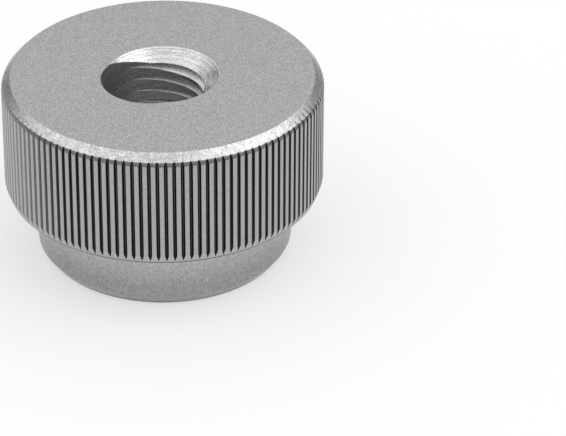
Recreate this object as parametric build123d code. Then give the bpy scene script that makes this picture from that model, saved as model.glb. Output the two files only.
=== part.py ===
from build123d import *
import os
from math import pi, radians, tan

# Quick-acting knurled thumb nut: a threaded hole along the axis, and a smooth hole drilled aslant across it.
# Held aslant, the nut slides along the stud. Set upright, it bites at the top of one side of the hole
# and at the foot of the other.
# Millimetres. The origin is the centre of the collar's resting face, and +Z runs up the thread's axis
# to the face of the head.

# Body
total_height = 24.0
head_diameter = 40.0
head_height = 15.2
collar_diameter = 32.0

# Edges: a width is measured square to the axis and a height along it
head_top_chamfer = 1.12
head_edge_break_width = 0.2
head_edge_break_height = 0.5
head_lower_chamfer_width = 0.4
head_lower_chamfer_height = 1.2
collar_corner_bevel = 0.5
collar_foot_chamfer_width = 1.0
collar_foot_chamfer_height = 1.4

# Thread: metric coarse M12, bored to its minor diameter and countersunk at both ends
thread_diameter = 12.0
thread_pitch = 1.75
minor_diameter_factor = 1.0825
countersink_diameter = 14.0
countersink_angle = 90.0

# Slanted hole: wide enough for the stud to slide through, crossing the thread's axis at mid height
slanted_hole_diameter = 12.4
slanted_hole_tilt = 8.3
slanted_hole_direction = -145.0

# Straight knurl: V grooves with a narrow floor, and lands left from the bar's own surface
knurl_pitch = 1.013
knurl_depth = 0.29
knurl_groove_angle = 70.0
knurl_floor_width = 0.08

# Worked out from the sizes above
head_radius = head_diameter / 2
collar_radius = collar_diameter / 2
collar_height = total_height - head_height
bore_radius = (thread_diameter - minor_diameter_factor * thread_pitch) / 2
countersink_radius = countersink_diameter / 2
countersink_depth = (countersink_radius - bore_radius) / tan(radians(countersink_angle / 2))
edge_break_top = total_height - head_top_chamfer + head_edge_break_width
knurl_grooves = round(pi * head_diameter / knurl_pitch)


def turned_section():
    """Half of the nut's section, from the bore's wall out to the head's widest surface."""
    outline = Polyline(
        (bore_radius, 0, countersink_depth),
        (countersink_radius, 0, 0),
        (collar_radius - collar_foot_chamfer_width, 0, 0),
        (collar_radius, 0, collar_foot_chamfer_height),
        (collar_radius, 0, collar_height),
        (head_radius - head_lower_chamfer_width, 0, collar_height),
        (head_radius, 0, collar_height + head_lower_chamfer_height),
        (head_radius, 0, edge_break_top - head_edge_break_height),
        (head_radius - head_edge_break_width, 0, edge_break_top),
        (head_radius - head_top_chamfer, 0, total_height),
        (countersink_radius, 0, total_height),
        (bore_radius, 0, total_height - countersink_depth),
        close=True,
    )
    section = make_face(outline)
    inner_corners = section.vertices().sort_by_distance(Vector(collar_radius, 0, collar_height))
    return chamfer(inner_corners[0], collar_corner_bevel)


def fluted_bar():
    """A bar wider than the head, fluted all round with the knurl's grooves."""
    bar_radius = head_radius + knurl_depth
    mouth_radius = bar_radius + knurl_depth
    floor_radius = head_radius - knurl_depth
    half_floor = knurl_floor_width / 2
    flank_slope = tan(radians(knurl_groove_angle / 2))
    half_mouth = half_floor + (mouth_radius - floor_radius) * flank_slope
    groove = make_face(Polyline(
        (floor_radius, -half_floor),
        (mouth_radius, -half_mouth),
        (mouth_radius, half_mouth),
        (floor_radius, half_floor),
        close=True,
    ))
    outline = Circle(bar_radius) - PolarLocations(0, knurl_grooves) * groove
    return extrude(outline, total_height)


def slanted_drill():
    """The smooth hole's cylinder, leaning at the top towards its direction."""
    drill = Cylinder(slanted_hole_diameter / 2, 2 * total_height)
    leaning = Rot(0, 0, slanted_hole_direction) * Rot(0, slanted_hole_tilt, 0)
    return Pos(0, 0, total_height / 2) * leaning * drill


def thumb_nut():
    """The turned blank with its knurl, drilled aslant."""
    blank = revolve(turned_section(), Axis.Z) & fluted_bar()
    return blank - slanted_drill()


os.makedirs("parts", exist_ok=True)
export_step(thumb_nut(), "parts/thumb_nut.step")
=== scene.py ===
# %% [markdown]
# # A quick-acting knurled thumb nut in stainless steel
# This nut is turned from one bar: a wide head with a straight knurl for the fingers, and a smooth collar
# under it that bears on the work. A threaded hole runs along its axis, and a smooth hole is drilled aslant
# across the thread. Held aslant the nut slides freely along its stud, and set upright it bites at the top
# of one side and at the foot of the other. The lesson makes it in a workshop's order: the bar is turned to
# its section, the knurl is cut, the hole is tapped and drilled, and the steel gets its finish. The packed
# CAD model is the frame: it gives the place and the overall size.

# %% Load the frame
from math import atan2, cos, degrees, pi, radians, sin, tan

import bmesh
import bpy
from mathutils import Matrix, Vector


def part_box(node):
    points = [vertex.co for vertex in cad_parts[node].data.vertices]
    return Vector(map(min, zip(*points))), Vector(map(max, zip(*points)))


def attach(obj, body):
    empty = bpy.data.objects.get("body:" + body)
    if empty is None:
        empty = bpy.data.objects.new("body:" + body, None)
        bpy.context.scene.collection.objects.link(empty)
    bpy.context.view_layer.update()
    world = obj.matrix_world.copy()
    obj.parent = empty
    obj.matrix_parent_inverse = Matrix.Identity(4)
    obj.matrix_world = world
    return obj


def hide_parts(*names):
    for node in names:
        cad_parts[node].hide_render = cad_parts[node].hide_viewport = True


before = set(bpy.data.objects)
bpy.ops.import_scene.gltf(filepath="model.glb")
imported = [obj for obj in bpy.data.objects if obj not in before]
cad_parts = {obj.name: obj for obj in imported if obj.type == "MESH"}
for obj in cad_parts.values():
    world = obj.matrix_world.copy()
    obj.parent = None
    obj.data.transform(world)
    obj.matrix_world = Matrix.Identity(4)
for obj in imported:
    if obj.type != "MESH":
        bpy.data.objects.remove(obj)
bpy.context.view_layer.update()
mm = 0.001

# %% Read the overall sizes from the CAD solid
low_corner, high_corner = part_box("thumb_nut")
total_height = round(high_corner.z - low_corner.z, 5)
head_radius = round((high_corner.x - low_corner.x) / 2, 5)
print(f"head {head_radius * 2000:.1f} mm across, {total_height * 1000:.1f} mm high")

# %% [markdown]
# ## Where the camera stands
# The camera comes before any modelling, because it decides which details are seen. A product picture is
# usually taken from well back with a long lens, so that the sides of the nut hardly converge. The camera
# could be turned by three angles, but aiming it at a point beside the nut and then rolling it by a hair is
# easier to read and to change. Its turn about the nut's axis decides where the grooves fall in the view.

# %% Set up the camera
camera_distance = 375.78 * mm
camera_height = 239.15 * mm
camera_turn = radians(-0.52)
camera_roll = radians(0.302)
aim_point = Vector((14.99, 0.0, 2.65)) * mm
camera_lens = 222.5
sensor_width = 36.0


def place_camera():
    """Adds the camera, aimed at the point beside the nut, and makes it the scene's own."""
    turn = Matrix.Rotation(camera_turn, 3, "Z")
    place = turn @ Vector((0.0, -camera_distance, camera_height))
    look = turn @ aim_point - place
    bpy.ops.object.camera_add(location=place)
    camera = bpy.context.active_object
    camera.name = "camera"
    aimed = look.to_track_quat("-Z", "Y").to_matrix() @ Matrix.Rotation(camera_roll, 3, "Z")
    camera.rotation_euler = aimed.to_euler()
    camera.data.lens = camera_lens
    camera.data.sensor_width = sensor_width
    camera.data.dof.use_dof = False
    bpy.context.scene.camera = camera
    return camera


bpy.ops.object.select_all(action="DESELECT")
camera = place_camera()
print("camera at", [round(v * 1000, 1) for v in camera.location], "mm")

# %% [markdown]
# ## Selecting by place
# By hand, faces and edges are picked with the mouse. In a script they could be picked by number, but the
# numbers change with every cut. So they are picked by where they lie or which way they face: one small
# helper goes through the mesh in edit mode and selects what passes a rule.

# %% Helpers for modelling
def fresh_start():
    """Leaves edit mode with nothing selected, so that an operator acts only on what comes next."""
    if bpy.context.mode != "OBJECT":
        bpy.ops.object.mode_set(mode="OBJECT")
    bpy.ops.object.select_all(action="DESELECT")


def pick(kind, rule):
    """Selects only the active mesh's VERT, EDGE or FACE elements whose middle point passes the rule."""
    bpy.ops.mesh.select_mode(type=kind)
    bpy.ops.mesh.select_all(action="DESELECT")
    mesh = bmesh.from_edit_mesh(bpy.context.active_object.data)
    group = {"VERT": mesh.verts, "EDGE": mesh.edges, "FACE": mesh.faces}[kind]
    for element in group:
        corners = [element] if kind == "VERT" else list(element.verts)
        middle = sum((v.co for v in corners), Vector()) / len(corners)
        if rule(middle, element):
            element.select_set(True)
    bmesh.update_edit_mesh(bpy.context.active_object.data)
    return sum(1 for element in group if element.select)


def near(a, b):
    """True where two lengths are the same to a thousandth of a millimetre."""
    return abs(a - b) < 1e-6


def apply_modifier(piece, kind, **values):
    """Adds a modifier to the piece, sets its values and applies it."""
    fresh_start()
    bpy.context.view_layer.objects.active = piece
    piece.select_set(True)
    modifier = piece.modifiers.new(kind.title(), kind)
    for name, value in values.items():
        setattr(modifier, name, value)
    bpy.ops.object.modifier_apply(modifier=modifier.name)


def faces_and_open_edges(piece):
    """The number of faces, and of edges that don't join exactly two faces."""
    mesh = bmesh.new()
    mesh.from_mesh(piece.data)
    counts = len(mesh.faces), sum(1 for e in mesh.edges if not e.is_manifold)
    mesh.free()
    return counts


# %% [markdown]
# ## The turned section
# Everything a lathe makes is one outline carried round an axis. The half section starts as an upright
# rectangle for the collar. Its top edge is extruded up for the head and the head's side is extruded out.
# Each chamfer is then one straight cut across a corner, just as the tool takes it. Cutting the flat
# section is far easier than cutting the finished solid, and every size can be changed in one place.

# %% Draw the half section
collar_radius = 16.0 * mm
head_height = 15.2 * mm
collar_height = total_height - head_height
thread_radius = 6.0 * mm
thread_pitch = 1.75 * mm
minor_diameter_factor = 1.0825
bore_radius = thread_radius - minor_diameter_factor * thread_pitch / 2


def draw_blocks():
    """The collar's rectangle, with the head extruded up from it and out."""
    bpy.ops.mesh.primitive_plane_add(size=1.0)
    section = bpy.context.active_object
    section.name = "nut_section"
    wall = collar_radius - bore_radius
    bpy.ops.object.mode_set(mode="EDIT")
    bpy.ops.transform.rotate(value=pi / 2, orient_axis="X", center_override=(0, 0, 0))
    bpy.ops.transform.resize(value=(wall, 1.0, collar_height), center_override=(0, 0, 0))
    bpy.ops.transform.translate(value=(bore_radius + wall / 2, 0.0, collar_height / 2))
    pick("EDGE", lambda m, e: near(m.z, collar_height))
    bpy.ops.mesh.extrude_region_move(TRANSFORM_OT_translate={"value": (0.0, 0.0, head_height)})
    pick("EDGE", lambda m, e: near(m.x, collar_radius) and m.z > collar_height + mm)
    bpy.ops.mesh.extrude_region_move(
        TRANSFORM_OT_translate={"value": (head_radius - collar_radius, 0.0, 0.0)}
    )
    pick("EDGE", lambda m, e: len(e.link_faces) == 2)
    bpy.ops.mesh.dissolve_edges(use_verts=False)
    pick("VERT", lambda m, v: near(m.x, bore_radius) and near(m.z, collar_height))
    bpy.ops.mesh.dissolve_verts()
    pick("VERT", lambda m, v: near(m.x, collar_radius) and near(m.z, total_height))
    bpy.ops.mesh.dissolve_verts()
    return section


fresh_start()
nut_section = draw_blocks()
print("corners of the plain section:", len(bmesh.from_edit_mesh(nut_section.data).verts))

# %% Cut the chamfers and break the corners
countersink_radius = 7.0 * mm
countersink_depth = countersink_radius - bore_radius
countersink_floor = total_height - countersink_depth
top_chamfer = 1.12 * mm
edge_break = 0.2 * mm
edge_break_top = total_height - (top_chamfer - edge_break)
edge_break_foot = edge_break_top - 0.5 * mm
lower_chamfer = 0.4 * mm
lower_chamfer_top = collar_height + 1.2 * mm
foot_chamfer = 1.0 * mm
foot_chamfer_top = 1.4 * mm
corner_cuts = {
    "countersink, top": ((bore_radius, countersink_floor), (countersink_radius, total_height)),
    "countersink, foot": ((countersink_radius, 0.0), (bore_radius, countersink_depth)),
    "top chamfer": ((head_radius - top_chamfer, total_height), (head_radius - edge_break, edge_break_top)),
    "edge break": ((head_radius - edge_break, edge_break_top), (head_radius, edge_break_foot)),
    "lower chamfer": ((head_radius, lower_chamfer_top), (head_radius - lower_chamfer, collar_height)),
    "foot chamfer": ((collar_radius, foot_chamfer_top), (collar_radius - foot_chamfer, 0.0)),
}
corner_bevel = 0.5 * mm
broken_corner = 0.055 * mm


def cut_corner(start, end):
    """Takes off what lies to the left of the line from start to end, in the section's plane."""
    bpy.ops.mesh.select_all(action="SELECT")
    across = Vector((start[1] - end[1], 0.0, end[0] - start[0])).normalized()
    bpy.ops.mesh.bisect(
        plane_co=(start[0], 0.0, start[1]), plane_no=across, clear_outer=True, threshold=1e-7
    )


def in_inner_corner(place):
    """True for the points of the bevel between collar and head."""
    return collar_height - mm < place.z < collar_height + 0.01 * mm and place.x < collar_radius + mm


for start, end in corner_cuts.values():
    cut_corner(start, end)
pick("VERT", lambda m, v: near(m.x, collar_radius) and near(m.z, collar_height))
bpy.ops.mesh.bevel(offset=corner_bevel, segments=4, affect="VERTICES")
outer_corners = pick("VERT", lambda m, v: not in_inner_corner(m))
bpy.ops.mesh.bevel(offset=broken_corner, segments=2, affect="VERTICES")
print(f"{len(corner_cuts)} cuts, {outer_corners} corners broken by {broken_corner * 1000:.3f} mm")

# %% [markdown]
# ## One pitch of the knurl
# The straight knurl is a ring of V grooves with flat lands between them, which are left from the bar's own
# surface. A bump texture could fake it, but the outline and the grooves' pointed ends would be missing.
# Cutting the grooves one after another in the whole nut would be slow. Here one slice of the nut, exactly
# one pitch wide, is turned from the section and cut once. The copies round the axis then share that cut.

# %% Turn one slice
knurl_pitch = 1.013 * mm
knurl_grooves = round(2 * pi * head_radius / knurl_pitch)
pitch_angle = 2 * pi / knurl_grooves
facets_per_pitch = 2


def turn_slice(section):
    """Spins the flat section through one pitch, centred on +X, into a closed wedge."""
    bpy.ops.mesh.select_all(action="SELECT")
    bpy.ops.transform.rotate(value=-pitch_angle / 2, orient_axis="Z", center_override=(0, 0, 0))
    bpy.ops.mesh.spin(steps=facets_per_pitch, angle=pitch_angle, center=(0, 0, 0), axis=(0, 0, 1))
    bpy.ops.mesh.select_all(action="SELECT")
    bpy.ops.mesh.normals_make_consistent(inside=False)
    bpy.ops.object.mode_set(mode="OBJECT")


turn_slice(nut_section)
nut = nut_section
nut.name = "nut_body"
print(f"{knurl_grooves} grooves, so a slice of {degrees(pitch_angle):.3f} degrees")
print("slice (faces, open edges):", faces_and_open_edges(nut))

# %% Make the groove cutter
knurl_depth = 0.29 * mm
groove_angle = radians(70)
groove_floor = 0.08 * mm


def groove_cutter():
    """A tall wedge: a narrow floor at the groove's depth, opening outwards past the bar's surface."""
    bpy.ops.mesh.primitive_plane_add(size=1.0)
    cutter = bpy.context.active_object
    cutter.name = "groove_cutter"
    floor_x = head_radius - knurl_depth
    reach = knurl_depth + 1.0 * mm
    mouth = groove_floor + 2 * reach * tan(groove_angle / 2)
    bpy.ops.object.mode_set(mode="EDIT")
    bpy.ops.transform.resize(value=(reach, groove_floor, 1.0), center_override=(0, 0, 0))
    bpy.ops.transform.translate(value=(floor_x + reach / 2, 0.0, collar_height - mm))
    pick("VERT", lambda m, v: m.x > floor_x + reach / 2)
    bpy.ops.transform.resize(value=(1.0, mouth / groove_floor, 1.0), center_override=(0, 0, 0))
    bpy.ops.mesh.select_all(action="SELECT")
    bpy.ops.mesh.extrude_region_move(
        TRANSFORM_OT_translate={"value": (0.0, 0.0, head_height + 2 * mm)}
    )
    bpy.ops.mesh.select_all(action="SELECT")
    bpy.ops.mesh.normals_make_consistent(inside=False)
    bpy.ops.object.mode_set(mode="OBJECT")
    return cutter


fresh_start()
cutter = groove_cutter()
apply_modifier(nut, "BOOLEAN", operation="DIFFERENCE", solver="EXACT", object=cutter)
bpy.data.objects.remove(cutter, do_unlink=True)
print("slice with its groove (faces, open edges):", faces_and_open_edges(nut))

# %% [markdown]
# ## Soften the groove's edges
# A knurling wheel presses and rolls the steel, so the lands' edges are never razor sharp, and they catch
# the light as thin bright lines. A bevel does that. It is made now, on one groove, while the edges that
# bound it are easy to pick: each has one face inside the groove and one outside.

# %% Bevel round the groove
land_edge = 0.04 * mm


def in_groove(face):
    """True for the groove's floor and its two flanks."""
    on_floor = near(face.calc_center_median().x, head_radius - knurl_depth)
    return abs(face.normal.z) < 0.01 and (abs(face.normal.y) > 0.5 or on_floor)


def on_cap(face):
    """True for the two flat sides of the slice."""
    middle = face.calc_center_median()
    return abs(abs(atan2(middle.y, middle.x)) - pitch_angle / 2) < 1e-5 and abs(face.normal.z) < 0.01


def bounds_groove(edge):
    """True for an edge between one face inside the groove and one outside."""
    return sum(in_groove(f) and not on_cap(f) for f in edge.link_faces) == 1


bpy.ops.object.mode_set(mode="EDIT")
rim = pick("EDGE", lambda m, e: m.x > collar_radius and bounds_groove(e))
print("edges round the groove:", rim)
bpy.ops.mesh.bevel(offset=land_edge, segments=2, affect="EDGES", clamp_overlap=True)
bpy.ops.object.mode_set(mode="OBJECT")
print("slice with softened edges (faces, open edges):", faces_and_open_edges(nut))

# %% [markdown]
# ## Copy the slice round the axis
# The two flat sides of the slice are only there so that the cut had a closed solid to work on. Once they
# are deleted, the slice is an open skin whose edges match its neighbour's exactly. Spin can place copies
# as well as sweep, so one call sets the other slices round the axis, and merging the doubles sews them up.

# %% Complete the ring
def sew_ring(piece):
    """Deletes the slice's flat sides, copies the slice round the axis and merges what touches."""
    fresh_start()
    bpy.context.view_layer.objects.active = piece
    bpy.ops.object.mode_set(mode="EDIT")
    pick("FACE", lambda m, f: on_cap(f))
    bpy.ops.mesh.delete(type="FACE")
    bpy.ops.mesh.select_all(action="SELECT")
    bpy.ops.mesh.spin(
        steps=knurl_grooves - 1, dupli=True, angle=2 * pi - pitch_angle, center=(0, 0, 0), axis=(0, 0, 1)
    )
    bpy.ops.mesh.select_all(action="SELECT")
    bpy.ops.mesh.remove_doubles(threshold=1e-6)
    bpy.ops.mesh.normals_make_consistent(inside=False)
    bpy.ops.object.mode_set(mode="OBJECT")


sew_ring(nut)
print("whole nut before tapping (faces, open edges):", faces_and_open_edges(nut))

# %% [markdown]
# ## The thread
# A tap cuts the thread: its teeth travel up a helix and leave 60 degree grooves in the bore, with a flat
# crest of the bored wall between them. It cuts a little deeper than the stud's own thread, so that only
# the flanks touch. Stacked rings would look right for a moment, but a ring never climbs, and it never
# runs out in the countersink as a real thread does. So the lesson makes the tap itself. One pitch of its
# tooth is drawn by extruding a single point, and the Screw modifier carries it up the helix.

# %% Draw one tooth of the tap
thread_turn = radians(62)
thread_flank = radians(30)
root_clearance = 0.15 * mm
tap_core = 4.8 * mm
tap_steps = 96


def tooth_profile():
    """One pitch of the tap's outline in the XZ plane, drawn by extruding one point again and again."""
    bpy.ops.mesh.primitive_plane_add(size=mm)
    tap = bpy.context.active_object
    tap.name = "thread_tap"
    bpy.ops.object.mode_set(mode="EDIT")
    bpy.ops.mesh.select_mode(type="VERT")
    bpy.ops.mesh.merge(type="CENTER")
    bpy.ops.mesh.select_all(action="SELECT")
    bpy.ops.transform.translate(value=(tap_core, 0.0, -2 * thread_pitch))
    height = thread_radius + root_clearance - tap_core
    half_tip = thread_pitch / 16 - root_clearance * tan(thread_flank)
    flank = height * tan(thread_flank)
    half_root = thread_pitch / 2 - half_tip - flank
    moves = ((0.0, half_root), (height, flank), (0.0, 2 * half_tip), (-height, flank), (0.0, half_root))
    for out, up in moves:
        bpy.ops.mesh.extrude_vertices_move(TRANSFORM_OT_translate={"value": (out, 0.0, up)})
    bpy.ops.object.mode_set(mode="OBJECT")
    return tap


fresh_start()
tap = tooth_profile()
print("points in the tooth's outline:", len(tap.data.vertices))

# %% Carry the tooth up the helix and close the tap
tap_turns = int(total_height / thread_pitch) + 4
apply_modifier(
    tap, "SCREW", axis="Z", angle=2 * pi, screw_offset=thread_pitch, iterations=tap_turns,
    steps=tap_steps, render_steps=tap_steps, use_merge_vertices=True, merge_threshold=1e-6,
)


def close_tap():
    """Turns the tap to its start, trims it square beyond both faces of the nut and closes it."""
    fresh_start()
    bpy.context.view_layer.objects.active = tap
    bpy.ops.object.mode_set(mode="EDIT")
    bpy.ops.mesh.select_all(action="SELECT")
    bpy.ops.mesh.remove_doubles(threshold=1e-6)
    bpy.ops.transform.rotate(value=-thread_turn, orient_axis="Z", center_override=(0, 0, 0))
    for height, side in ((-mm, -1), (total_height + mm, 1)):
        bpy.ops.mesh.select_all(action="SELECT")
        bpy.ops.mesh.bisect(
            plane_co=(0.0, 0.0, height), plane_no=(0.0, 0.0, side),
            clear_outer=True, use_fill=True, threshold=1e-7,
        )
    bpy.ops.mesh.select_all(action="SELECT")
    bpy.ops.mesh.normals_make_consistent(inside=False)
    bpy.ops.object.mode_set(mode="OBJECT")


close_tap()
print("tap (faces, open edges):", faces_and_open_edges(tap))

# %% Tap the hole
apply_modifier(nut, "BOOLEAN", operation="DIFFERENCE", solver="EXACT", object=tap)
bpy.data.objects.remove(tap, do_unlink=True)
print("tapped nut (faces, open edges):", faces_and_open_edges(nut))

# %% [markdown]
# ## The slanted hole
# A smooth drill, a little wider than the stud, goes through at a slant and crosses the axis at mid height.
# It takes the thread away on one side near the head's face and on the other side near the foot, and the
# thread that is left ends in clean cuts. The order matters here as in the workshop: a hole drilled before
# the tapping would be threaded itself. So the drill is a second cutter for a second Boolean.

# %% Drill aslant
slanted_radius = 6.2 * mm
slanted_tilt = radians(8.3)
slanted_direction = radians(-145)
drill_facets = 160


def slanted_drill():
    """A long cylinder, leaning at the top towards its direction, through the middle of the nut."""
    bpy.ops.mesh.primitive_cylinder_add(vertices=drill_facets, radius=slanted_radius, depth=2 * total_height)
    drill = bpy.context.active_object
    drill.name = "slanted_drill"
    bpy.ops.object.mode_set(mode="EDIT")
    bpy.ops.mesh.select_all(action="SELECT")
    bpy.ops.transform.rotate(value=-slanted_tilt, orient_axis="Y", center_override=(0, 0, 0))
    bpy.ops.transform.rotate(value=-slanted_direction, orient_axis="Z", center_override=(0, 0, 0))
    bpy.ops.transform.translate(value=(0.0, 0.0, total_height / 2))
    bpy.ops.object.mode_set(mode="OBJECT")
    return drill


fresh_start()
drill = slanted_drill()
upper = sum((v.co for v in drill.data.vertices if v.co.z > total_height / 2), Vector())
print(f"the drill leans to {degrees(atan2(upper.y, upper.x)):.0f} degrees from +X")
apply_modifier(nut, "BOOLEAN", operation="DIFFERENCE", solver="EXACT", object=drill)
bpy.data.objects.remove(drill, do_unlink=True)
print("drilled nut (faces, open edges):", faces_and_open_edges(nut))

# %% [markdown]
# ## Smooth shading
# A turned surface is smooth, but here it is made of facets, and its broken edges are narrow bands. Smooth
# shading by angle hides the facets and keeps real corners sharp. By itself it would also let a broken edge
# tilt the light across the whole flat face beside it. The Weighted Normal modifier lets the large faces
# decide, so that they stay flat and only the narrow bands turn the light.

# %% Shade the nut
sharp_angle = radians(32)

fresh_start()
nut.select_set(True)
bpy.context.view_layer.objects.active = nut
bpy.ops.object.shade_smooth_by_angle(angle=sharp_angle)
apply_modifier(nut, "WEIGHTED_NORMAL", keep_sharp=True, weight=100)
print("sharp corners start at", round(degrees(sharp_angle)), "degrees")

# %% [markdown]
# ## Sums in nodes
# The floor, the world and the steel are all node trees, and most of their nodes do one small sum. By hand
# each would be added from the menu and wired. In a script, three lines for every sum would bury what the
# tree means, so two helpers place a Math node or a Map Range node in one call.

# %% Helpers for node trees
def reckon(tree, operation, a, b=None, clamp=False):
    """A Math node on sockets or plain numbers, giving its output."""
    node = tree.nodes.new("ShaderNodeMath")
    node.operation = operation
    node.use_clamp = clamp
    for slot, value in zip(node.inputs, (a, b)):
        if isinstance(value, bpy.types.NodeSocket):
            tree.links.new(value, slot)
        elif value is not None:
            slot.default_value = value
    return node.outputs[0]


def ramp_between(tree, value, low, high, at_low=0.0, at_high=1.0):
    """A Map Range node: at_low where value is low, at_high where it is high, clamped outside."""
    node = tree.nodes.new("ShaderNodeMapRange")
    tree.links.new(value, node.inputs["Value"])
    for label, number in (("From Min", low), ("From Max", high), ("To Min", at_low), ("To Max", at_high)):
        node.inputs[label].default_value = number
    return node.outputs["Result"]


def on_object(tree):
    """The Object coordinates' socket, which is the place in metres from the middle of the foot."""
    return tree.nodes.new("ShaderNodeTexCoord").outputs["Object"]


# %% [markdown]
# ## The floor
# Bright steel shows its surroundings, so the surroundings are part of its finish. A pale sheet under the
# nut lights it from below and takes its shadow. A far stronger lamp could turn the sheet white, but it
# would burn out the steel too. So the floor is lifted to white only where the camera or a reflection sees
# it. Far away it is duller and without that lift, as the room round such a table is: the far sides of the
# chamfers mirror it and go dark, and that gives the head its crisp outline.

# %% Lay the floor
floor_width = 6.0
floor_colour, far_floor_colour = 0.60, 0.40
floor_lift = 0.5
white_reach, dull_reach = 85 * mm, 140 * mm


def stage_floor():
    """A wide pale floor, white round the nut for the camera and for reflections, and duller far away."""
    bpy.ops.mesh.primitive_plane_add(size=floor_width, location=(0, 0, 0))
    floor = bpy.context.active_object
    floor.name = "studio_floor"
    material = bpy.data.materials.new("pale_floor")
    material.use_nodes = True
    tree = material.node_tree
    tree.nodes.clear()
    away = tree.nodes.new("ShaderNodeVectorMath")
    away.operation = "LENGTH"
    tree.links.new(on_object(tree), away.inputs[0])
    distance = away.outputs["Value"]
    colour = ramp_between(tree, distance, white_reach, dull_reach, floor_colour, far_floor_colour)
    matt = tree.nodes.new("ShaderNodeBsdfDiffuse")
    tree.links.new(colour, matt.inputs["Color"])
    rays = tree.nodes.new("ShaderNodeLightPath").outputs
    seen = reckon(tree, "ADD", rays["Is Camera Ray"], rays["Is Glossy Ray"], clamp=True)
    seen = reckon(tree, "ADD", seen, rays["Is Transmission Ray"], clamp=True)
    lift = ramp_between(tree, distance, white_reach, dull_reach, floor_lift, 0.0)
    glow = tree.nodes.new("ShaderNodeEmission")
    tree.links.new(reckon(tree, "MULTIPLY", seen, lift), glow.inputs["Strength"])
    lifted = tree.nodes.new("ShaderNodeAddShader")
    tree.links.new(matt.outputs[0], lifted.inputs[0])
    tree.links.new(glow.outputs[0], lifted.inputs[1])
    output = tree.nodes.new("ShaderNodeOutputMaterial")
    tree.links.new(lifted.outputs[0], output.inputs["Surface"])
    floor.data.materials.append(material)
    return floor


fresh_start()
studio_floor = stage_floor()
print("floor:", studio_floor.name)

# %% [markdown]
# ## World and lamps
# The flat top face mirrors what is high up, and the chamfers and the lands mirror what is low and to the
# sides. A world of one brightness would make them all alike. This one is bright overhead and dull towards
# the horizon. Three large soft lamps stand on the right, on the left and above the camera, weak enough
# that the steel's own colour still shows. The one on the right is the strongest, and models the head.

# %% Light the nut
world_high, world_low = 0.76, 0.20
dull_below, bright_above = radians(10), radians(28)
lamp_distance = 1.2


def plain_world():
    """A world that is bright overhead and duller towards the horizon."""
    world = bpy.data.worlds.new("studio")
    world.use_nodes = True
    tree = world.node_tree
    parts = tree.nodes.new("ShaderNodeSeparateXYZ")
    tree.links.new(tree.nodes.new("ShaderNodeTexCoord").outputs["Generated"], parts.inputs[0])
    level = ramp_between(tree, parts.outputs["Z"], sin(dull_below), sin(bright_above), world_low, world_high)
    tree.links.new(level, tree.nodes["Background"].inputs["Color"])
    bpy.context.scene.world = world


def soft_lamp(name, azimuth, elevation, width, level):
    """A square lamp aimed at the nut, of that brightness. Azimuth 0 is over the camera, 90 to its right."""
    a, e = radians(azimuth), radians(elevation)
    middle = Vector((0, 0, total_height / 2))
    place = middle + lamp_distance * Vector((sin(a) * cos(e), -cos(a) * cos(e), sin(e)))
    bpy.ops.object.light_add(type="AREA", location=place)
    lamp = bpy.context.active_object
    lamp.name = name
    lamp.data.size = width
    lamp.data.energy = level * pi * width * width
    lamp.rotation_euler = (middle - place).to_track_quat("-Z", "Y").to_euler()
    return lamp


plain_world()
lamps = [
    soft_lamp("lamp_right", azimuth=78, elevation=40, width=1.2, level=0.58),
    soft_lamp("lamp_left", azimuth=-72, elevation=40, width=1.2, level=0.20),
    soft_lamp("lamp_above", azimuth=0, elevation=62, width=1.1, level=0.10),
]
bpy.context.scene.view_settings.view_transform = "Standard"
print("lamps:", [lamp.name for lamp in lamps])

# %% [markdown]
# ## Stainless steel: grain and tool marks
# Turned stainless is a metal with a soft sheen and a fine grain. The turning tool leaves rings round the
# nut's axis, and the slanted drill leaves rings round its own. They are far too fine for the mesh, so they
# go into the bump. A wave texture would give rings that are all alike, but a tool's marks vary: a noise
# that changes only with the radius and the height makes such rings by itself, and a Mapping node turns
# them to the drill's axis. Each is a node group, so that it can be used again at another spacing.

# %% Build the groups for grain and tool marks
def new_group(name, inputs, outputs):
    """An empty shader node group with named float sockets, and its two end nodes."""
    group = bpy.data.node_groups.new(name, "ShaderNodeTree")
    for label, value in inputs.items():
        socket = group.interface.new_socket(label, in_out="INPUT", socket_type="NodeSocketFloat")
        socket.default_value = value
    for label in outputs:
        group.interface.new_socket(label, in_out="OUTPUT", socket_type="NodeSocketFloat")
    return group, group.nodes.new("NodeGroupInput"), group.nodes.new("NodeGroupOutput")


def across_axis(tree, place):
    """Sockets with the distance from the Z axis and the height, for a socket of places."""
    parts = tree.nodes.new("ShaderNodeSeparateXYZ")
    tree.links.new(place, parts.inputs[0])
    x, y, z = parts.outputs
    square = reckon(tree, "ADD", reckon(tree, "MULTIPLY", x, x), reckon(tree, "MULTIPLY", y, y))
    return reckon(tree, "SQRT", square), z


def tool_rings_group(name, tilt=0.0, direction=0.0, middle=0.0):
    """Fine rings round an axis: a noise that changes along the radius and the height only."""
    tree, given, result = new_group(name, {"Spacing": 0.1 * mm}, ["Height"])
    turned = tree.nodes.new("ShaderNodeMapping")
    turned.vector_type = "TEXTURE"
    turned.inputs["Location"].default_value = (0.0, 0.0, middle)
    turned.inputs["Rotation"].default_value = (0.0, tilt, direction)
    tree.links.new(on_object(tree), turned.inputs["Vector"])
    radius, height = across_axis(tree, turned.outputs[0])
    along = tree.nodes.new("ShaderNodeCombineXYZ")
    tree.links.new(reckon(tree, "DIVIDE", radius, given.outputs["Spacing"]), along.inputs[0])
    tree.links.new(reckon(tree, "DIVIDE", height, given.outputs["Spacing"]), along.inputs[1])
    noise = tree.nodes.new("ShaderNodeTexNoise")
    noise.inputs["Scale"].default_value = 1.0
    noise.inputs["Detail"].default_value = 3.0
    tree.links.new(along.outputs[0], noise.inputs["Vector"])
    tree.links.new(noise.outputs["Fac"], result.inputs["Height"])
    return tree


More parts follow.
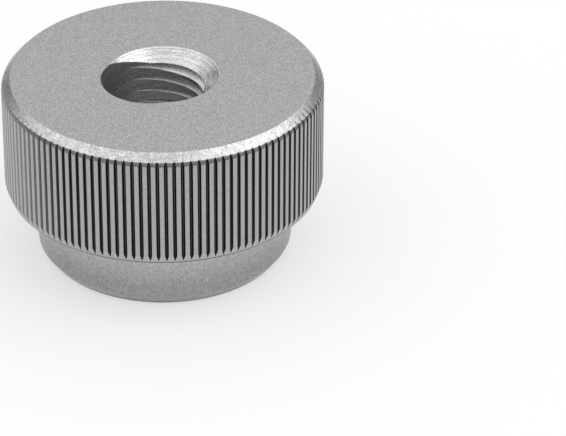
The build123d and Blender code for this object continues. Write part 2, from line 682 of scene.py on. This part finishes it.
def grain_group():
    """A fine mottling of the steel, between 0 and 1, with specks of that size."""
    tree, given, result = new_group("steel_grain", {"Size": 0.2 * mm}, ["Grain"])
    noise = tree.nodes.new("ShaderNodeTexNoise")
    noise.inputs["Detail"].default_value = 2.0
    noise.inputs["Roughness"].default_value = 0.6
    tree.links.new(on_object(tree), noise.inputs["Vector"])
    tree.links.new(reckon(tree, "DIVIDE", 1.0, given.outputs["Size"]), noise.inputs["Scale"])
    tree.links.new(noise.outputs["Fac"], result.inputs["Grain"])
    return tree


groups = {
    "lathe_rings": tool_rings_group("lathe_rings"),
    "drill_rings": tool_rings_group("drill_rings", slanted_tilt, slanted_direction, total_height / 2),
    "steel_grain": grain_group(),
}
print("node groups:", sorted(groups))

# %% [markdown]
# ## Stainless steel: where each finish and the painted light lie
# No two of the nut's surfaces are quite alike. The faces are matt, the chamfers are bright and slightly
# torn, and the hole's wall is a little darker than the faces. The grooves are painted dark: painted shade.
# The sides, the collar's foot, the foot chamfer and the rim under the head get painted shade too, and the
# lower land ends and the thread's upward flanks a painted highlight. A material for each, on its own faces,
# could only change at an edge. Masks that are worked out from the distance to the axis and the height can
# fade too, as the painted shade in the grooves does. They use the sizes that made the shape, and so keep to
# it.

# %% Helpers for masks
soft_step = 0.03 * mm


def both(tree, *masks):
    """Where all the masks hold."""
    total = masks[0]
    for mask in masks[1:]:
        total = reckon(tree, "MULTIPLY", total, mask)
    return total


def beyond(tree, value, limit):
    """1 above the limit and 0 below it, with a soft step between."""
    return ramp_between(tree, value, limit - soft_step / 2, limit + soft_step / 2)


def other_than(tree, mask):
    """Where the mask doesn't hold."""
    return reckon(tree, "SUBTRACT", 1.0, mask)


def short_of(tree, value, limit):
    """1 below the limit and 0 above it, with a soft step between."""
    return other_than(tree, beyond(tree, value, limit))


# %% Masks on the head and the collar
knurl_ring = head_radius - 0.75 * mm
knurl_foot = collar_height + 0.05 * mm
chamfer_ring = head_radius - top_chamfer - 0.01 * mm
# The head's lowest edge over the collar is painted dark: a painted shadow under the head.
rim_top = collar_height + 0.2 * mm
collar_ring = collar_radius - 1.2 * mm
collar_end = collar_height + 0.01 * mm
# The foot chamfer is painted dark: painted shade where it faces the floor beside the nut.
foot_top = 0.5 * mm
# The collar is painted lighter at its top and darker towards its foot between these heights: painted shade.
shade_foot, shade_top = 3.0 * mm, 8.0 * mm
# The grooves are painted dark from this depth under the lands: painted shade, fading to about a third of its
# strength towards the nut's left side.
groove_shade_start, groove_shade_full = 0.008 * mm, 0.03 * mm
# The grooves' roots are painted darker still: painted shade in the deepest part.
root_start, root_full = knurl_depth - 0.05 * mm, knurl_depth - 0.01 * mm
groove_shade_left, groove_shade_right = -18.5 * mm, -12.5 * mm
groove_shade_least = 0.35


def depth_under_blank(tree, radius, z):
    """How deep a point lies under the surface that the head had before it was knurled."""
    narrow_foot = head_radius - lower_chamfer
    narrow_top = head_radius - edge_break
    lower = ramp_between(tree, z, collar_height, lower_chamfer_top, narrow_foot, head_radius)
    upper = ramp_between(tree, z, edge_break_foot, edge_break_top, head_radius, narrow_top)
    top = ramp_between(tree, z, edge_break_top, total_height, 0.0, edge_break - top_chamfer)
    blank = reckon(tree, "ADD", reckon(tree, "MINIMUM", lower, upper), top)
    return reckon(tree, "SUBTRACT", blank, radius)


def outside_masks(tree, radius, z, x):
    """The masks of what the lathe and the knurl made outside, and of the painted shade and highlights there.
    """
    depth = depth_under_blank(tree, radius, z)
    on_ring = beyond(tree, radius, knurl_ring)
    on_head = both(tree, on_ring, beyond(tree, z, knurl_foot))
    # Painted shade in the grooves, weaker towards the nut's left side.
    painted_shade = ramp_between(tree, x, groove_shade_left, groove_shade_right, groove_shade_least, 1.0)
    masks = {
        # Groove: painted shade in the knurl's grooves.
        "Groove": both(tree, ramp_between(tree, depth, groove_shade_start, groove_shade_full), on_head, painted_shade),
        # Root: painted shade at the bottom of the grooves.
        "Root": both(tree, ramp_between(tree, depth, root_start, root_full), on_head),
        "Chamfer": both(tree, beyond(tree, z, edge_break_top), beyond(tree, radius, chamfer_ring)),
        # Side: the head's side and the collar's wall are painted darker than the faces: painted shade.
        "Side": both(tree, short_of(tree, z, edge_break_top), beyond(tree, radius, collar_ring)),
        # LandEnd: the lower ends of the lands are painted a little lighter: a painted highlight.
        "LandEnd": both(tree, on_ring, short_of(tree, z, lower_chamfer_top)),
        # Rim: a painted shadow along the head's lowest edge.
        "Rim": both(tree, on_ring, short_of(tree, z, rim_top)),
        # Foot: painted shade on the foot chamfer.
        "Foot": both(tree, beyond(tree, radius, collar_ring), short_of(tree, z, foot_top)),
    }
    # Collar and CollarTop paint the collar darker towards its foot: painted shade.
    masks["Collar"] = both(tree, masks["Side"], short_of(tree, z, collar_end))
    masks["CollarTop"] = both(tree, masks["Collar"], ramp_between(tree, z, shade_foot, shade_top))
    return masks


# The grooves' painted shade starts this deep under the lands.
print("the film in the grooves starts", round(groove_shade_start * 1e6), "micrometres under the lands")

# %% Masks in the hole
cone_skin = 0.035 * mm
cone_margin = 0.03 * mm
face_margin = 0.02 * mm
hole_reach = 2.0 * mm
# How far a surface in the hole must face upwards to get the painted highlight.
flank_start, flank_full = 0.5, 0.8


def inside_masks(tree, radius, z):
    """The masks of the countersinks, the walls of both holes and the thread's upward flanks."""
    rise = reckon(tree, "SUBTRACT", z, countersink_floor)
    fall = reckon(tree, "SUBTRACT", countersink_depth, z)
    flare = reckon(tree, "MAXIMUM", reckon(tree, "MAXIMUM", rise, fall), 0.0)
    cone_radius = reckon(tree, "ADD", flare, bore_radius)
    off_cone = reckon(tree, "ABSOLUTE", reckon(tree, "SUBTRACT", radius, cone_radius))
    cone = both(
        tree, short_of(tree, off_cone, cone_skin), beyond(tree, flare, cone_margin),
        short_of(tree, radius, countersink_radius - cone_margin),
    )
    between_faces = both(tree, short_of(tree, z, total_height - face_margin), beyond(tree, z, face_margin))
    near_axis = short_of(tree, radius, countersink_radius + hole_reach)
    hole = both(tree, between_faces, near_axis, other_than(tree, cone))
    facing = tree.nodes.new("ShaderNodeSeparateXYZ")
    tree.links.new(tree.nodes.new("ShaderNodeNewGeometry").outputs["Normal"], facing.inputs[0])
    # Surfaces in the hole that face upwards are painted light: a painted highlight on the thread's flanks.
    upward = ramp_between(tree, facing.outputs["Z"], flank_start, flank_full)
    return {"Cone": cone, "Hole": hole, "Flank": both(tree, hole, upward)}


print(f"the countersink's mask is {cone_skin * 2000:.2f} mm thick")

# %% Put the masks in one group
zone_names = [
    "Side", "Collar", "CollarTop", "Foot", "LandEnd", "Rim",
    "Groove", "Root", "Chamfer", "Cone", "Hole", "Flank",
]


def zones_group():
    """Where each finish and the painted light lie, worked out from the radius, the height and the facing."""
    tree, given, result = new_group("nut_zones", {}, zone_names)
    place = on_object(tree)
    radius, z = across_axis(tree, place)
    parts = tree.nodes.new("ShaderNodeSeparateXYZ")
    tree.links.new(place, parts.inputs[0])
    masks = outside_masks(tree, radius, z, parts.outputs["X"]) | inside_masks(tree, radius, z)
    for name in zone_names:
        tree.links.new(masks[name], result.inputs[name])
    return tree


groups["nut_zones"] = zones_group()
print("masks:", [s.name for s in groups["nut_zones"].interface.items_tree if s.in_out == "OUTPUT"])

# %% [markdown]
# ## Stainless steel: the material
# The steel is the same everywhere, and what differs is how much light each surface gives back and how
# sharply, and where light or shade is painted into the colour. So one metal shader is enough. The plain
# face's colour and roughness come first, and each mask mixes in its own. The grain and the rings then swing
# the colour a little and go into one bump. The Principled shader stays in the material itself, and the
# groups only feed it.

# %% Colours and roughness of each finish, with painted shade and highlights
face_colour, face_roughness = 0.59, 0.36
# The colours of Side, Collar, CollarTop, Foot, Rim, Groove and Root hold painted shade, and those of LandEnd
# and Flank painted highlights.
zone_colours = {
    "Side": 0.41, "Collar": 0.34, "CollarTop": 0.49, "Foot": 0.24, "LandEnd": 0.45, "Rim": 0.14,
    "Groove": 0.035, "Root": 0.10, "Chamfer": 0.73, "Cone": 0.76, "Hole": 0.54, "Flank": 0.95,
}
zone_roughness = {
    "Side": 0.32, "Groove": 0.45, "Chamfer": 0.30, "Cone": 0.14, "Hole": 0.36, "Flank": 0.45,
}


def place_group(tree, name, **values):
    """Puts one of the node groups in the material, with its values, and gives its outputs."""
    node = tree.nodes.new("ShaderNodeGroup")
    node.node_tree = groups[name]
    for label, value in values.items():
        node.inputs[label].default_value = value
    return node.outputs


def blend_zones(tree, zones, start, values):
    """Starts from the plain face's value and mixes in each zone's own by its mask."""
    value = start
    for zone, number in values.items():
        mix = tree.nodes.new("ShaderNodeMix")
        tree.links.new(zones[zone], mix.inputs["Factor"])
        if isinstance(value, bpy.types.NodeSocket):
            tree.links.new(value, mix.inputs["A"])
        else:
            mix.inputs["A"].default_value = value
        mix.inputs["B"].default_value = number
        value = mix.outputs["Result"]
    return value


print("finishes with their own colour:", len(zone_colours), "and roughness:", len(zone_roughness))

# %% Make the material
grain_size, blotch_size = 0.21 * mm, 0.6 * mm
fine_spacing, cone_spacing, drill_spacing = 0.09 * mm, 0.16 * mm, 0.3 * mm
bump_strength, bump_distance = 0.6, 0.01 * mm
face_specks, side_specks, collar_specks = 1.5, 0.6, 0.6
chamfer_blotches, collar_blotches = 0.9, 0.4
cone_swing, hole_swing = 1.3, 0.9
cone_relief, hole_relief = 8.0, 3.5
blue_share = 0.99


def swing(tree, pattern, amount):
    """A pattern's distance from its middle value, so much of it."""
    return reckon(tree, "MULTIPLY", reckon(tree, "SUBTRACT", pattern, 0.5), amount)


def scaled(tree, mask, amount):
    """A mask times a number."""
    return reckon(tree, "MULTIPLY", mask, amount)


def speckle(tree, zones, grain, blotches, cone_rings, drill_rings):
    """What the colour is multiplied by: 1, swung by the grain, the blotches and the rings in their zones."""
    specks = ramp_between(tree, zones["Side"], 0.0, 1.0, face_specks, side_specks)
    specks = reckon(tree, "ADD", specks, scaled(tree, zones["Collar"], collar_specks))
    torn = scaled(tree, zones["Chamfer"], chamfer_blotches)
    torn = reckon(tree, "ADD", torn, scaled(tree, zones["Collar"], collar_blotches))
    in_cone = scaled(tree, zones["Cone"], cone_swing)
    in_hole = scaled(tree, zones["Hole"], hole_swing)
    total = 1.0
    for pattern, amount in (
        (grain, specks), (blotches, torn), (cone_rings, in_cone), (drill_rings, in_hole),
    ):
        total = reckon(tree, "ADD", total, swing(tree, pattern, amount))
    return total


def turned_stainless():
    """Turned stainless steel, with a colour and a roughness for each of the nut's surfaces."""
    material = bpy.data.materials.new("turned_stainless")
    material.use_nodes = True
    tree = material.node_tree
    steel = tree.nodes["Principled BSDF"]
    steel.inputs["Metallic"].default_value = 1.0
    zones = place_group(tree, "nut_zones")
    grain = place_group(tree, "steel_grain", Size=grain_size)["Grain"]
    blotches = place_group(tree, "steel_grain", Size=blotch_size)["Grain"]
    fine_rings = place_group(tree, "lathe_rings", Spacing=fine_spacing)["Height"]
    cone_rings = place_group(tree, "lathe_rings", Spacing=cone_spacing)["Height"]
    drill_rings = place_group(tree, "drill_rings", Spacing=drill_spacing)["Height"]

    specks = speckle(tree, zones, grain, blotches, cone_rings, drill_rings)
    level = reckon(tree, "MULTIPLY", blend_zones(tree, zones, face_colour, zone_colours), specks)
    colour = tree.nodes.new("ShaderNodeCombineColor")
    tree.links.new(level, colour.inputs["Red"])
    tree.links.new(level, colour.inputs["Green"])
    tree.links.new(scaled(tree, level, blue_share), colour.inputs["Blue"])
    tree.links.new(colour.outputs[0], steel.inputs["Base Color"])
    tree.links.new(blend_zones(tree, zones, face_roughness, zone_roughness), steel.inputs["Roughness"])

    relief = reckon(tree, "ADD", fine_rings, grain)
    for rings, zone, height in ((cone_rings, "Cone", cone_relief), (drill_rings, "Hole", hole_relief)):
        relief = reckon(tree, "ADD", relief, both(tree, scaled(tree, rings, height), zones[zone]))
    bump = tree.nodes.new("ShaderNodeBump")
    bump.inputs["Strength"].default_value = bump_strength
    bump.inputs["Distance"].default_value = bump_distance
    tree.links.new(relief, bump.inputs["Height"])
    tree.links.new(bump.outputs[0], steel.inputs["Normal"])
    return material


nut.data.materials.clear()
nut.data.materials.append(turned_stainless())
print("materials on the nut:", [m.name for m in nut.data.materials])

# %% [markdown]
# ## Tie the nut to its frame
# The finished nut stands in for the CAD solid and moves with the same body.

# %% Tie the nut to its frame and hide the CAD solid
nut.name = nut.data.name = "thumb_nut_body"
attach(nut, "root")
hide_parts("thumb_nut")
